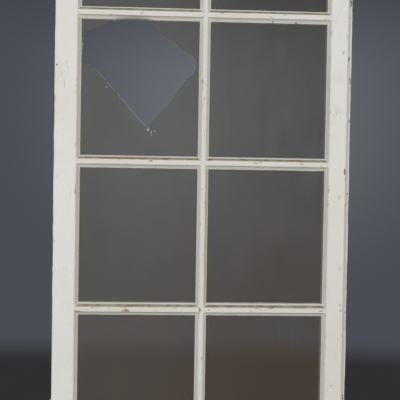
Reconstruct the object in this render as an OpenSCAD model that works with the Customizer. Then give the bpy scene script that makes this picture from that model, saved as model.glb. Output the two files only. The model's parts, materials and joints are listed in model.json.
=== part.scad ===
// Old divided-light casement sash: two columns of four lights, glazed with
// putty, hung on two butt hinges and closed by a turn button.
// Frame: +X to the closing edge, +Y into the room, +Z up.
// Origin: middle of the sash's bottom edge, at mid thickness.

/* [Sash] */
// Overall width of the sash
sash_w = 614; // [460:1:800]
// Overall height of the sash
sash_h = 1318; // [1000:1:1700]
// Thickness of the sash, face to face
sash_t = 36; // [32:0.5:48]
// Width of each stile, edge to sight line
stile_w = 52; // [42:0.5:75]
// Height of the top rail, edge to sight line
top_rail_h = 49; // [40:0.5:80]
// Height of the bottom rail, edge to sight line
bottom_rail_h = 74; // [55:0.5:120]
// Width of the step along the outside of the closing edge
lip_w = 10; // [4:0.5:14]
// Depth of that step
lip_d = 10; // [4:0.5:12]

/* [Glazing bars] */
// Width of the upright bar, sight line to sight line
upright_bar_w = 22; // [18:0.5:32]
// Height of each cross bar, sight line to sight line
cross_bar_h = 24; // [20:0.5:36]
// Radius of the ovolo moulding on the room side
ovolo_r = 6; // [3:0.5:7]
// Width of the square step beside the ovolo
quirk_w = 1; // [0.5:0.25:1.5]

/* [Glass and putty] */
// Depth of the glazing rebate from the outside face
rebate_d = 14; // [11:0.5:16]
// Width of the rebate on upright members
side_rebate = 6.5; // [5:0.25:8]
// Width of the rebate on level members
level_rebate = 7; // [5:0.25:9]
// Thickness of the glass
glass_t = 3; // [2:0.5:4]
// Gap between the glass edge and the rebate wall
glass_gap = 1.5; // [1:0.25:2.5]
// Thickness of the bed of putty behind the glass
bed_t = 1.5; // [1:0.25:2.5]
// Distance that the putty stops short of the outside face
putty_setback = 0.5; // [0.25:0.25:2]
// Thickness of the putty where it meets the outside arris
putty_lip = 0.8; // [0.5:0.1:1.5]
// Length of a glazing point
point_l = 8; // [6:0.5:9]
// Width of a glazing point at its thick end
point_w = 6; // [4:0.5:8]
// Thickness of a glazing point
point_t = 0.6; // [0.4:0.1:1]
// How far a glazing point is driven into the wood
point_grip = 3; // [2:0.25:3.75]

/* [Joinery] */
// Thickness of every tenon
tenon_t = 12; // [9:0.5:13]
// Distance from a rail's outer edge to its tenon
haunch = 10; // [6:0.5:16]
// Depth of a glazing bar's tenon in its stile or rail
stub_l = 20; // [12:0.5:26]
// Width of a glazing bar's tenon
stub_w = 14; // [9:0.5:16]
// Empty space left past the end of a stub tenon
stub_gap = 0.5; // [0.25:0.25:1.5]
// Thickness of a tenon wedge at its wide end
wedge_t = 3; // [2:0.25:4]
// Length of a tenon wedge
wedge_l = 32; // [20:1:38]
// Radius of the pegs that pin the corner joints
peg_r = 4; // [3:0.25:5]
// Space around a peg or a screw shank
drill_clear = 0.1; // [0.05:0.05:0.2]

/* [Hinges] */
// Height of a hinge
hinge_h = 76; // [60:1:100]
// Thickness of a hinge leaf
leaf_t = 2.6; // [2:0.1:3.2]
// How far a leaf reaches in from the room face
leaf_reach = 22; // [18:0.5:26]
// Outer radius of the knuckles
knuckle_r = 5.5; // [5:0.1:7]
// Radius of the hinge pin
pin_r = 2.5; // [2:0.1:3]
// Radial clearance of the pin in the knuckles
pin_clear = 0.05; // [0.02:0.01:0.1]
// Gap between two knuckles, along the pin
knuckle_gap = 0.4; // [0.3:0.1:1]
// Gap between the closed leaves
leaf_gap = 3; // [2:0.25:4]
// Room face of the sash to the surface of the knuckles
knuckle_stand = 0.6; // [0.4:0.1:2]
// Middle of the upper hinge, down from the top edge
upper_hinge_drop = 150; // [110:1:220]
// Middle of the lower hinge, up from the bottom edge
lower_hinge_rise = 130; // [110:1:260]
// Distance between a leaf's outer two screws
screw_pitch = 50; // [40:1:56]
// Distance of the sash leaf's outer screws in from the room face
outer_screw_in = 14; // [12.5:0.5:17]
// Distance of the sash leaf's middle screw in from the room face
middle_screw_in = 8; // [7:0.5:9.5]
// Radius of a hinge screw's shank
screw_r = 2.1; // [1.5:0.1:2.5]
// Radius of a hinge screw's head
screw_head_r = 4; // [3.2:0.1:4.5]
// Length of a hinge screw
screw_l = 25; // [16:1:32]

/* [Turn button] */
// Height of the turn button's pivot above the bottom edge
button_z = 655; // [400:1:900]
// Distance of the pivot in from the closing edge
button_in = 22; // [18:0.5:28]
// Length of the button, end to end
button_l = 64; // [52:1:80]
// Width of the button
button_w = 16; // [12:0.5:20]
// Thickness of the button
button_t = 5; // [3.5:0.25:7]
// Height of the thumb wing above the button
wing_h = 12; // [8:0.5:18]
// Thickness of the thumb wing
wing_t = 4; // [3:0.25:6]
// Length of each of the two thumb wings
wing_l = 16; // [12:0.5:18]
// Gap between a wing and the pivot's head
wing_gap = 1.5; // [1:0.25:3]
// Length of the plate under the button
plate_l = 58; // [48:1:76]
// Width of that plate
plate_w = 20; // [16:0.5:26]
// Thickness of that plate
plate_t = 2; // [1.5:0.25:3]
// Radius of the pivot
pivot_r = 3.5; // [2.5:0.1:4.5]
// Radius of the pivot's head
pivot_head_r = 6; // [5:0.1:7]
// Thickness of the pivot's head
pivot_head_t = 2; // [1.5:0.25:3]
// Gap above and below the button, along its pivot
button_gap = 0.3; // [0.2:0.05:0.6]
// Distance between the plate's two screws
plate_screw_pitch = 42; // [34:1:60]
// Radius of a plate screw's shank
plate_screw_r = 1.6; // [1.2:0.1:2]
// Radius of a plate screw's head
plate_screw_head_r = 3; // [2.4:0.1:3.6]
// Length of a plate screw
plate_screw_l = 14; // [10:1:18]

/* [Hidden] */
$fn = 64;
ROWS = 4;
LEFT = -1;
RIGHT = 1;
PAINT = "#d9d6cc";
PUTTY = "#c6c2ae";
GLASS = "#8d9490";
IRON = "#4c4a47";
STEEL = "#8a8a88";
BARE = "#b79a6b";
e = 1;                                  // how far a cutter runs past a face

half_w = sash_w / 2;
out_y = -sash_t / 2;                    // outside face
room_y = sash_t / 2;                    // room face
seat_y = out_y + rebate_d;              // rebate floor behind the glass
glass_back_y = seat_y - bed_t;
glass_front_y = glass_back_y - glass_t;
tenon_y = seat_y;                       // front cheek of every tenon
sight_w = (sash_w - 2 * stile_w - upright_bar_w) / 2;
sight_h = (sash_h - top_rail_h - bottom_rail_h - (ROWS - 1) * cross_bar_h) / ROWS;
row_pitch = sight_h + cross_bar_h;
cope = max(side_rebate, level_rebate, ovolo_r + quirk_w);

function light_x(side) = side * (upright_bar_w + sight_w) / 2;
function light_z(row) = sash_h - top_rail_h - sight_h / 2 - (row - 1) * row_pitch;
function cross_bar_z(row) = light_z(row) - row_pitch / 2;

// Outline of the broken glass, as shares of the light's width and height
// from its upper left corner, clockwise from the top edge
FRACTURE = [
    [0.59, -0.10], [0.59, 0.01], [0.61, 0.06], [0.72, 0.12], [0.81, 0.18],
    [0.94, 0.26], [0.99, 0.32], [0.95, 0.39], [0.88, 0.45], [0.82, 0.52],
    [0.75, 0.62], [0.66, 0.70], [0.60, 0.76], [0.58, 0.80], [0.54, 0.77],
    [0.49, 0.73], [0.375, 0.61], [0.225, 0.47], [0.135, 0.38], [0.05, 0.33],
    [0.01, 0.31], [0.01, 0.14], [0.05, 0.10], [0.26, 0.01], [0.26, -0.10]
];
BROKEN_ROW = 2;
// Chipped foot of the putty over the broken glass: start and end, as shares
// of the light's width, and how far up the putty it reaches
chip_from = 0.30;
chip_to = 0.58;
chip_rise = 3.5;

// ---- members: sections and blanks -------------------------------------

// What a glazed edge takes off a member that ends at u = 0
module glazed_edge(rebate) {
    translate([-rebate, out_y - e]) square([rebate + e, rebate_d + e]);
    translate([-ovolo_r - quirk_w, room_y - ovolo_r]) difference() {
        square([ovolo_r + quirk_w + e, ovolo_r + e]);
        circle(r = ovolo_r);
    }
}

// Section of a stile or rail, from its outer edge at u = 0
module border_section(w, rebate) {
    difference() {
        translate([0, out_y]) square([w, sash_t]);
        translate([w, 0]) glazed_edge(rebate);
    }
}

// Section of a glazing bar, centred on u = 0
module bar_section(w, rebate) {
    difference() {
        translate([-w / 2, out_y]) square([w, sash_t]);
        for (side = [LEFT, RIGHT])
            mirror([side == LEFT ? 1 : 0, 0]) translate([w / 2, 0]) glazed_edge(rebate);
    }
}

// Runs a section level along X, with u going up
module level_run(l) {
    rotate([0, -90, 0]) linear_extrude(height = l, center = true) children();
}

module stile_blank(side) {
    mirror([side == RIGHT ? 1 : 0, 0, 0]) translate([-half_w, 0, 0])
        linear_extrude(height = sash_h) border_section(stile_w, side_rebate);
}

module bottom_rail_blank(l = sash_w) {
    level_run(l) border_section(bottom_rail_h, level_rebate);
}

module top_rail_blank(l = sash_w) {
    translate([0, 0, sash_h]) mirror([0, 0, 1])
        level_run(l) border_section(top_rail_h, level_rebate);
}

module upright_bar_blank() {
    translate([0, 0, bottom_rail_h - cope])
        linear_extrude(height = sash_h - bottom_rail_h - top_rail_h + 2 * cope)
            bar_section(upright_bar_w, side_rebate);
}

module cross_bar_blank(row, side) {
    translate([light_x(side), 0, cross_bar_z(row)])
        level_run(sight_w + 2 * cope) bar_section(cross_bar_h, level_rebate);
}

// ---- joints in the wood -----------------------------------------------

// Box between two corners, given as x, z pairs, as thick as a tenon
module tenon_box(low, high) {
    translate([low[0], tenon_y, low[1]])
        cube([high[0] - low[0], tenon_t, high[1] - low[1]]);
}

// A rail's tenon runs through each stile; z limits for both rails
function rail_tenon(top) = top
    ? [sash_h - top_rail_h + level_rebate, sash_h - haunch]
    : [haunch, bottom_rail_h - level_rebate];

module rail_tenons(top) {
    z = rail_tenon(top);
    tenon_box([-half_w, z[0]], [half_w, z[1]]);
}

// One wedge, its wide end flush with the sash's edge; up is 1 or -1
module wedge(side, z, up) {
    translate([side * half_w, tenon_y + tenon_t, z]) rotate([90, 0, 0])
        linear_extrude(height = tenon_t)
            polygon([[0, 0], [-side * wedge_l, 0], [0, up * wedge_t]]);
}

module corner_wedges(top, side) {
    z = rail_tenon(top);
    wedge(side, z[0], -1);
    wedge(side, z[1], 1);
}

// Stub tenons of the cross bar that ends at a stile and at the upright bar
module cross_bar_tenon(row, side) {
    z = cross_bar_z(row);
    stile_end = half_w - stile_w + stub_l;
    inner_end = stub_gap / 2;
    low = side == LEFT ? -stile_end : inner_end;
    high = side == LEFT ? -inner_end : stile_end;
    tenon_box([low, z - stub_w / 2], [high, z + stub_w / 2]);
}

// Mortises for the cross bars, through the upright bar and into a stile
module cross_bar_mortises() {
    reach = half_w - stile_w + stub_l + stub_gap;
    for (row = [1 : ROWS - 1])
        tenon_box([-reach, cross_bar_z(row) - stub_w / 2],
                  [reach, cross_bar_z(row) + stub_w / 2]);
}

module upright_bar_tenon(gap = 0) {
    tenon_box([-stub_w / 2, bottom_rail_h - stub_l - gap],
              [stub_w / 2, sash_h - top_rail_h + stub_l + gap]);
}

// Pegs through each stile and the tenon in it; clear widens them to holes
module pegs(clear = 0) {
    for (side = [LEFT, RIGHT], top = [true, false]) {
        z = rail_tenon(top);
        translate([side * (half_w - stile_w / 2), room_y, (z[0] + z[1]) / 2])
            rotate([90, 0, 0]) cylinder(r = peg_r + clear, h = sash_t);
    }
}

// ---- wooden members ---------------------------------------------------

module left_stile() {
    color(PAINT) difference() {
        stile_blank(LEFT);
        for (top = [true, false]) {
            rail_tenons(top);
            corner_wedges(top, LEFT);
        }
        cross_bar_mortises();
        pegs(drill_clear);
        for (z = hinge_zs) {
            leaf_gain(z);
            leaf_screws(z, drill_clear);
        }
    }
}

module right_stile() {
    color(PAINT) difference() {
        stile_blank(RIGHT);
        translate([half_w - lip_w, out_y - e, -e]) cube([lip_w + e, lip_d + e, sash_h + 2 * e]);
        for (top = [true, false]) {
            rail_tenons(top);
            corner_wedges(top, RIGHT);
        }
        cross_bar_mortises();
        pegs(drill_clear);
        plate_screws(drill_clear);
    }
}

module rail(top) {
    color(PAINT) difference() {
        union() {
            difference() {
                if (top) top_rail_blank(sash_w - 2 * stile_w + 2 * cope);
                else bottom_rail_blank(sash_w - 2 * stile_w + 2 * cope);
                stile_blank(LEFT);
                stile_blank(RIGHT);
            }
            rail_tenons(top);
        }
        upright_bar_tenon(stub_gap);
        pegs(drill_clear);
    }
}

module top_rail() { rail(true); }
module bottom_rail() { rail(false); }

module upright_bar() {
    color(PAINT) difference() {
        union() {
            difference() {
                upright_bar_blank();
                top_rail_blank();
                bottom_rail_blank();
            }
            upright_bar_tenon();
        }
        cross_bar_mortises();
    }
}

module cross_bar(row, side) {
    color(PAINT) {
        difference() {
            cross_bar_blank(row, side);
            stile_blank(side);
            upright_bar_blank();
        }
        cross_bar_tenon(row, side);
    }
}

module cross_bar_1_left() { cross_bar(1, LEFT); }
module cross_bar_1_right() { cross_bar(1, RIGHT); }
module cross_bar_2_left() { cross_bar(2, LEFT); }
module cross_bar_2_right() { cross_bar(2, RIGHT); }
module cross_bar_3_left() { cross_bar(3, LEFT); }
module cross_bar_3_right() { cross_bar(3, RIGHT); }

module tenon_wedges() {
    color(BARE) for (top = [true, false], side = [LEFT, RIGHT]) corner_wedges(top, side);
}

module corner_pegs() {
    color(PAINT) difference() {
        pegs();
        translate([half_w - lip_w, out_y - e, -e]) cube([lip_w + e, lip_d + e, sash_h + 2 * e]);
    }
}

// ---- glass, putty and glazing points ----------------------------------

// A box centred on a light, reaching past its sight lines by side and level
module light_box(row, side, y_from, y_to, by_side, by_level) {
    w = sight_w + 2 * by_side;
    h = sight_h + 2 * by_level;
    translate([light_x(side) - w / 2, y_from, light_z(row) - h / 2])
        cube([w, y_to - y_from, h]);
}

module fracture(row, side) {
    corner_x = light_x(side) - sight_w / 2;
    corner_z = light_z(row) + sight_h / 2;
    translate([corner_x, glass_back_y + e, corner_z]) rotate([90, 0, 0])
        linear_extrude(height = glass_t + 2 * e)
            polygon([for (p = FRACTURE) [p[0] * sight_w, -p[1] * sight_h]]);
}

module pane(row, side) {
    color(GLASS, 0.45) difference() {
        light_box(row, side, glass_front_y, glass_back_y,
                  side_rebate - glass_gap, level_rebate - glass_gap);
        if (row == BROKEN_ROW && side == LEFT) fracture(row, side);
    }
}

module pane_1_left() { pane(1, LEFT); }
module pane_1_right() { pane(1, RIGHT); }
module pane_2_left() { pane(2, LEFT); }
module pane_2_right() { pane(2, RIGHT); }
module pane_3_left() { pane(3, LEFT); }
module pane_3_right() { pane(3, RIGHT); }
module pane_4_left() { pane(4, LEFT); }
module pane_4_right() { pane(4, RIGHT); }

module bedding_putty() {
    color(PUTTY) for (row = [1 : ROWS], side = [LEFT, RIGHT]) difference() {
        light_box(row, side, glass_back_y, seat_y,
                  side_rebate - glass_gap, level_rebate - glass_gap);
        light_box(row, side, glass_back_y - e, seat_y + e, 0, 0);
    }
}

// Half the clear width between the putty slopes at depth y
function slope_half(sight, rebate, y) =
    sight / 2 + (rebate - putty_lip) * (glass_front_y - y)
        / (glass_front_y - out_y - putty_setback);

// The slopes of one pair of sides, as a section over depth
module slope_section(sight, rebate) {
    deep = glass_front_y + e;
    near = out_y - e;
    polygon([
        [-slope_half(sight, rebate, deep), deep], [slope_half(sight, rebate, deep), deep],
        [slope_half(sight, rebate, near), near], [-slope_half(sight, rebate, near), near]
    ]);
}

// The space inside the four putty slopes of a light
module putty_throat(row, side) {
    translate([light_x(side), 0, light_z(row)]) intersection() {
        linear_extrude(height = 2 * sight_h, center = true) slope_section(sight_w, side_rebate);
        level_run(2 * sight_w) slope_section(sight_h, level_rebate);
    }
}

// The bite out of the putty's foot: a wide, shallow arc
module putty_chip(row, side) {
    half = (chip_to - chip_from) / 2 * sight_w;
    r = (half * half + chip_rise * chip_rise) / (2 * chip_rise);
    x = light_x(side) + ((chip_from + chip_to) / 2 - 0.5) * sight_w;
    top = light_z(row) + sight_h / 2 + chip_rise;
    intersection() {
        translate([x, glass_front_y + e, top - r]) rotate([90, 0, 0])
            cylinder(r = r, h = sash_t);
        translate([x - half - e, out_y - e, top - chip_rise]) cube([2 * (half + e), sash_t, 2 * chip_rise]);
    }
}

module face_putty(row, side) {
    color(PUTTY) difference() {
        light_box(row, side, out_y + putty_setback, glass_front_y, side_rebate, level_rebate);
        putty_throat(row, side);
        points_of(row, side);
        if (row == BROKEN_ROW && side == LEFT) putty_chip(row, side);
    }
}

module face_putty_1_left() { face_putty(1, LEFT); }
module face_putty_1_right() { face_putty(1, RIGHT); }
module face_putty_2_left() { face_putty(2, LEFT); }
module face_putty_2_right() { face_putty(2, RIGHT); }
module face_putty_3_left() { face_putty(3, LEFT); }
module face_putty_3_right() { face_putty(3, RIGHT); }
module face_putty_4_left() { face_putty(4, LEFT); }
module face_putty_4_right() { face_putty(4, RIGHT); }

// Four points hold each pane, two on each upright side
module points_of(row, side) {
    for (way = [LEFT, RIGHT], share = [-0.28, 0.28])
        translate([light_x(side) + way * (sight_w / 2 + side_rebate + point_grip),
                   glass_front_y, light_z(row) + share * sight_h])
            rotate([90, 0, 0]) linear_extrude(height = point_t)
                polygon([[0, 0], [-way * point_l, point_w / 2], [-way * point_l, -point_w / 2]]);
}

module glazing_points() {
    color(STEEL) for (row = [1 : ROWS], side = [LEFT, RIGHT]) points_of(row, side);
}

// ---- hinges -----------------------------------------------------------

hinge_zs = [sash_h - upper_hinge_drop, lower_hinge_rise];
pin_x = -half_w - leaf_gap / 2;
pin_y = room_y + knuckle_stand + knuckle_r;
leaf_in_y = room_y - leaf_reach;
KNUCKLES = 5;
knuckle_l = (hinge_h - (KNUCKLES - 1) * knuckle_gap) / KNUCKLES;
leaf_hole_r = screw_r + drill_clear;
sunk_r = screw_head_r + drill_clear;
sunk_d = sunk_r - leaf_hole_r;          // a 45 degree countersink
tip_h = 3;                              // how far a pin's tips stand out
knuckle_clear = 0.4;                    // space round the other leaf's knuckles

// Knuckles with these numbers, each from 0 at the bottom; grow widens them
module knuckles(z, numbers, grow = 0) {
    for (n = numbers)
        translate([pin_x, pin_y, z - hinge_h / 2 + n * (knuckle_l + knuckle_gap) - grow])
            cylinder(r = knuckle_r + grow, h = knuckle_l + 2 * grow);
}

module pin_hole(z) {
    translate([pin_x, pin_y, z - hinge_h / 2 - e])
        cylinder(r = pin_r + pin_clear, h = hinge_h + 2 * e);
}

// A leaf's three screws zigzag: the outer two and the middle one lie at
// different distances in from the room face
function leaf_screw_spots(z, outer_in, middle_in) = [
    [room_y - outer_in, z - screw_pitch / 2],
    [room_y - middle_in, z],
    [room_y - outer_in, z + screw_pitch / 2]
];

// A leaf with its flat at x_from, screw heads sunk on the face at face_x
module leaf(z, x_from, face_x, way, own, other, spots) {
    difference() {
        union() {
            difference() {
                translate([x_from, leaf_in_y, z - hinge_h / 2])
                    cube([leaf_t, pin_y - leaf_in_y, hinge_h]);
                knuckles(z, other, knuckle_clear);
            }
            knuckles(z, own);
        }
        pin_hole(z);
        for (spot = spots)
            translate([face_x, spot[0], spot[1]]) rotate([0, way * 90, 0]) {
                translate([0, 0, -e]) cylinder(r = leaf_hole_r, h = leaf_t + 2 * e);
                translate([0, 0, -e]) cylinder(r1 = sunk_r + e, r2 = leaf_hole_r, h = sunk_d + e);
            }
    }
}

module sash_leaf(z) {
    color(IRON) leaf(z, -half_w, -half_w, 1, [1, 3], [0, 2, 4],
        leaf_screw_spots(z, outer_screw_in, middle_screw_in));
}

// The jamb leaf zigzags the other way, so that no two screw heads meet
module jamb_leaf(z) {
    face_x = -half_w - leaf_gap;
    color(IRON) leaf(z, face_x - leaf_t, face_x, -1, [0, 2, 4], [1, 3],
        leaf_screw_spots(z, middle_screw_in, outer_screw_in));
}

module hinge_pin(z) {
    color(IRON) translate([pin_x, pin_y, z - hinge_h / 2]) {
        cylinder(r = pin_r, h = hinge_h);
        for (tip = [[-tip_h, pin_r, knuckle_r - 1], [hinge_h, knuckle_r - 1, pin_r]])
            translate([0, 0, tip[0]]) cylinder(r1 = tip[1], r2 = tip[2], h = tip_h);
    }
}

// Pocket in the stile's edge that the leaf is let into
module leaf_gain(z) {
    translate([-half_w - e, leaf_in_y, z - hinge_h / 2])
        cube([leaf_t + e, leaf_reach + e, hinge_h]);
}

// A countersunk screw along +Z from its head; clear widens only the shank
module wood_screw(r, head_r, l, clear = 0) {
    cylinder(r1 = head_r, r2 = r, h = head_r - r);
    cylinder(r = r + clear, h = l - 2 * r);
    translate([0, 0, l - 2 * r]) cylinder(r1 = r + clear, r2 = 0.4 + clear, h = 2 * r);
}

module leaf_screws(z, clear = 0) {
    for (spot = leaf_screw_spots(z, outer_screw_in, middle_screw_in))
        translate([-half_w, spot[0], spot[1]]) rotate([0, 90, 0])
            wood_screw(screw_r, screw_head_r, screw_l, clear);
}

module upper_hinge_sash_leaf() { sash_leaf(hinge_zs[0]); }
module upper_hinge_jamb_leaf() { jamb_leaf(hinge_zs[0]); }
module upper_hinge_pin() { hinge_pin(hinge_zs[0]); }
module lower_hinge_sash_leaf() { sash_leaf(hinge_zs[1]); }
module lower_hinge_jamb_leaf() { jamb_leaf(hinge_zs[1]); }
module lower_hinge_pin() { hinge_pin(hinge_zs[1]); }
module hinge_screws() { color(STEEL) for (z = hinge_zs) leaf_screws(z); }

// ---- turn button ------------------------------------------------------

button_x = half_w - button_in;
plate_top_y = room_y + plate_t;
button_y = plate_top_y + button_gap;
head_y = button_y + button_t + button_gap;

// Places children on the room face at the pivot, with +Z out of the face
module at_pivot(y) {
    translate([button_x, y, button_z]) rotate([-90, 0, 0]) children();
}

// A bar with round ends along the local Y axis
module round_bar(l, w, t) {
    linear_extrude(height = t) {
        square([w, l - w], center = true);
        for (end = [LEFT, RIGHT]) translate([0, end * (l - w) / 2]) circle(d = w);
    }
}

module turn_button_plate() {
    color(IRON) difference() {
        at_pivot(room_y) round_bar(plate_l, plate_w, plate_t);
        at_pivot(room_y - e) cylinder(r = pivot_r, h = plate_t + 2 * e);
        for (end = [LEFT, RIGHT]) translate([0, 0, end * plate_screw_pitch / 2])
            at_pivot(plate_top_y) rotate([180, 0, 0]) {
                clear_r = plate_screw_r + drill_clear;
                depth = plate_screw_head_r - plate_screw_r;
                translate([0, 0, -e]) cylinder(r = clear_r, h = plate_t + 2 * e);
                translate([0, 0, -e]) cylinder(r1 = clear_r + depth + e, r2 = clear_r, h = depth + e);
            }
    }
}

module turn_button_pivot() {
    color(STEEL) {
        at_pivot(room_y) cylinder(r = pivot_r, h = head_y - room_y + pivot_head_t / 2);
        at_pivot(head_y) cylinder(r1 = pivot_head_r, r2 = pivot_head_r - 1, h = pivot_head_t);
    }
}

module turn_button() {
    color(IRON) difference() {
        union() {
            at_pivot(button_y) round_bar(button_l, button_w, button_t);
            for (end = [LEFT, RIGHT]) button_wing(end);
        }
        at_pivot(button_y - e) cylinder(r = pivot_r + pin_clear, h = button_t + 2 * e);
    }
}

// One of the two thumb wings, beside the pivot's head
module button_wing(end) {
    near = pivot_head_r + wing_gap;
    round_r = min(wing_h, wing_l) / 2;
    translate([button_x - wing_t / 2, button_y, button_z]) mirror([0, 0, end == LEFT ? 1 : 0]) {
        translate([0, 0, near]) cube([wing_t, button_t + wing_h - round_r, wing_l]);
        translate([0, button_t + wing_h - round_r, near + wing_l / 2]) rotate([0, 90, 0])
            cylinder(r = round_r, h = wing_t);
    }
}

module plate_screws(clear = 0) {
    for (end = [LEFT, RIGHT]) translate([0, 0, end * plate_screw_pitch / 2])
        at_pivot(plate_top_y) rotate([180, 0, 0])
            wood_screw(plate_screw_r, plate_screw_head_r, plate_screw_l, clear);
}

module turn_button_screws() { color(STEEL) plate_screws(); }

left_stile();
right_stile();
top_rail();
bottom_rail();
upright_bar();
cross_bar_1_left();
cross_bar_1_right();
cross_bar_2_left();
cross_bar_2_right();
cross_bar_3_left();
cross_bar_3_right();
tenon_wedges();
corner_pegs();
pane_1_left();
pane_1_right();
pane_2_left();
pane_2_right();
pane_3_left();
pane_3_right();
pane_4_left();
pane_4_right();
bedding_putty();
glazing_points();
face_putty_1_left();
face_putty_1_right();
face_putty_2_left();
face_putty_2_right();
face_putty_3_left();
face_putty_3_right();
face_putty_4_left();
face_putty_4_right();
upper_hinge_sash_leaf();
upper_hinge_jamb_leaf();
upper_hinge_pin();
lower_hinge_sash_leaf();
lower_hinge_jamb_leaf();
lower_hinge_pin();
hinge_screws();
turn_button_plate();
turn_button_pivot();
turn_button();
turn_button_screws();
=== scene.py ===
import json
import math

import bmesh
import bpy
from mathutils import Matrix, Vector, noise


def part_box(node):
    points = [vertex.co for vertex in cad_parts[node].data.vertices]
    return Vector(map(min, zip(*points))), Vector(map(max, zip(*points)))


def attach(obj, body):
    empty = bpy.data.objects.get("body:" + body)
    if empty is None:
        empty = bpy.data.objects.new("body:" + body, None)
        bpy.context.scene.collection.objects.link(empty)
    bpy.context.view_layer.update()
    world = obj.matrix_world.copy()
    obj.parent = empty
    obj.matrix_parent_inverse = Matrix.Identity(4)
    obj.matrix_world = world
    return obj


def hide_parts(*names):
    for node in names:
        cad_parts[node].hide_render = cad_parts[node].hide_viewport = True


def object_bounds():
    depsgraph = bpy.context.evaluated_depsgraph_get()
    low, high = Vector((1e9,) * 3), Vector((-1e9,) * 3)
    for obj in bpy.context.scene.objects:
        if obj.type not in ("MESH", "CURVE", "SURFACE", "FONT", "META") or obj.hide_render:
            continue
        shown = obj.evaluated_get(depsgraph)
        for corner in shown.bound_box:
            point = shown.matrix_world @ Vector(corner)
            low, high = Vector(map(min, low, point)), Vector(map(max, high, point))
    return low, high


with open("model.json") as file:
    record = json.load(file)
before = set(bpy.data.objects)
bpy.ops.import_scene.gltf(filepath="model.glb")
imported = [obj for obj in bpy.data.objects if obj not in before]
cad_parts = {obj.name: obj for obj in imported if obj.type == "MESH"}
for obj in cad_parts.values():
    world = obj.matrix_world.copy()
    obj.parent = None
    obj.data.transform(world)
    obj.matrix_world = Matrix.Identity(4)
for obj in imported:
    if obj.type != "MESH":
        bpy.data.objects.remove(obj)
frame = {"nodes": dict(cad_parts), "record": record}
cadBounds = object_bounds()
mm = 0.001
scene = bpy.context.scene
noise.seed_set(7)        # unseeded, noise_vector follows the clock and no two runs are the same
rows = (1, 2, 3, 4)      # from the top
sides = ("left", "right")
sashLow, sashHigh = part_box("left_stile")[0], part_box("right_stile")[1]
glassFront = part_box("pane_1_left")[0].y
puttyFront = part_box("face_putty_1_left")[0].y
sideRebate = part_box("left_stile")[1].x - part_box("face_putty_1_left")[0].x
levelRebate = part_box("cross_bar_1_left")[1].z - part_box("face_putty_1_left")[0].z
print("frame loaded:", len(frame["nodes"]), "nodes")


# Screen colours, as the linear values that the shaders take
def srgb(red, green, blue):
    def toLinear(value):
        share = value / 255
        return share / 12.92 if share <= 0.04045 else ((share + 0.055) / 1.055) ** 2.4
    return (toLinear(red), toLinear(green), toLinear(blue), 1)


class Wire:
    # one output socket of a node, which takes part in sums
    def __init__(self, graph, socket):
        self.graph = graph
        self.socket = socket

    def __add__(self, other):
        return self.graph.maths("ADD", self, other)

    def __sub__(self, other):
        return self.graph.maths("SUBTRACT", self, other)

    def __rsub__(self, other):
        return self.graph.maths("SUBTRACT", other, self)

    def __mul__(self, other):
        return self.graph.maths("MULTIPLY", self, other)

    __radd__ = __add__
    __rmul__ = __mul__

    def most(self, other):
        return self.graph.maths("MAXIMUM", self, other)

    def least(self, other):
        return self.graph.maths("MINIMUM", self, other)

    def between(self, low, high):      # 0 at low, 1 at high, smooth in between; low may be the larger
        ends = {"Value": self, "From Min": low, "From Max": high}
        return self.graph.node("ShaderNodeMapRange", {"interpolation_type": "SMOOTHSTEP"}, ends)


class Graph:
    def __init__(self, tree):
        self.tree = tree
        tree.nodes.clear()

    def node(self, kind, settings=None, sockets=None, out=0):
        made = self.tree.nodes.new(kind)
        for name, value in (settings or {}).items():
            setattr(made, name, value)
        for name, value in (sockets or {}).items():
            if isinstance(value, Wire):
                self.tree.links.new(value.socket, made.inputs[name])
            else:
                made.inputs[name].default_value = value
        return Wire(self, made.outputs[out]) if made.outputs else made

    def maths(self, operation, first, second):
        return self.node("ShaderNodeMath", {"operation": operation}, {0: first, 1: second})

    def vector(self, operation, first, second=(0, 0, 0)):
        out = "Value" if operation == "LENGTH" else "Vector"
        return self.node("ShaderNodeVectorMath", {"operation": operation}, {0: first, 1: second}, out)

    def mix(self, factor, first, second):
        return self.node("ShaderNodeMix", {"data_type": "RGBA"}, {0: factor, 6: first, 7: second}, 2)

    def place(self):                   # the row frame in metres, which a piece keeps as it moves
        return self.node("ShaderNodeTexCoord", out="Object")

    def parts(self, vector):
        made = self.tree.nodes.new("ShaderNodeSeparateXYZ")
        self.tree.links.new(vector.socket, made.inputs[0])
        return [Wire(self, socket) for socket in made.outputs]

    def noise(self, vector, scale, detail=3, out="Fac", rough=0.55):
        values = {"Vector": vector, "Scale": scale, "Detail": detail, "Roughness": rough}
        return self.node("ShaderNodeTexNoise", None, values, out)

    def cells(self, vector, scale, feature="DISTANCE_TO_EDGE"):
        values = {"Vector": vector, "Scale": scale}
        return self.node("ShaderNodeTexVoronoi", {"feature": feature}, values)

    def mark(self, name):
        return self.node("ShaderNodeAttribute", {"attribute_name": name}, out="Fac")

    def bump(self, height, distance, strength=1.0):
        values = {"Height": height, "Distance": distance, "Strength": strength}
        return self.node("ShaderNodeBump", None, values)


def newMaterial(name):
    material = bpy.data.materials.new(name)
    material.use_nodes = True
    return material, Graph(material.node_tree)


def finishMaterial(graph, **sockets):
    names = {"color": "Base Color", "rough": "Roughness", "metal": "Metallic", "normal": "Normal",
             "alpha": "Alpha", "specular": "Specular IOR Level", "ior": "IOR"}
    values = {names[key]: value for key, value in sockets.items()}
    shader = graph.node("ShaderNodeBsdfPrincipled", None, values)
    graph.node("ShaderNodeOutputMaterial", None, {"Surface": shader})


def grainPlace(graph, along, drawn):   # coordinates drawn out along a member, so noise makes streaks
    stretch = {"X": (drawn, 1, 1), "Y": (1, drawn, 1), "Z": (1, 1, drawn)}[along]
    return graph.vector("MULTIPLY", graph.place(), stretch)


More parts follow.
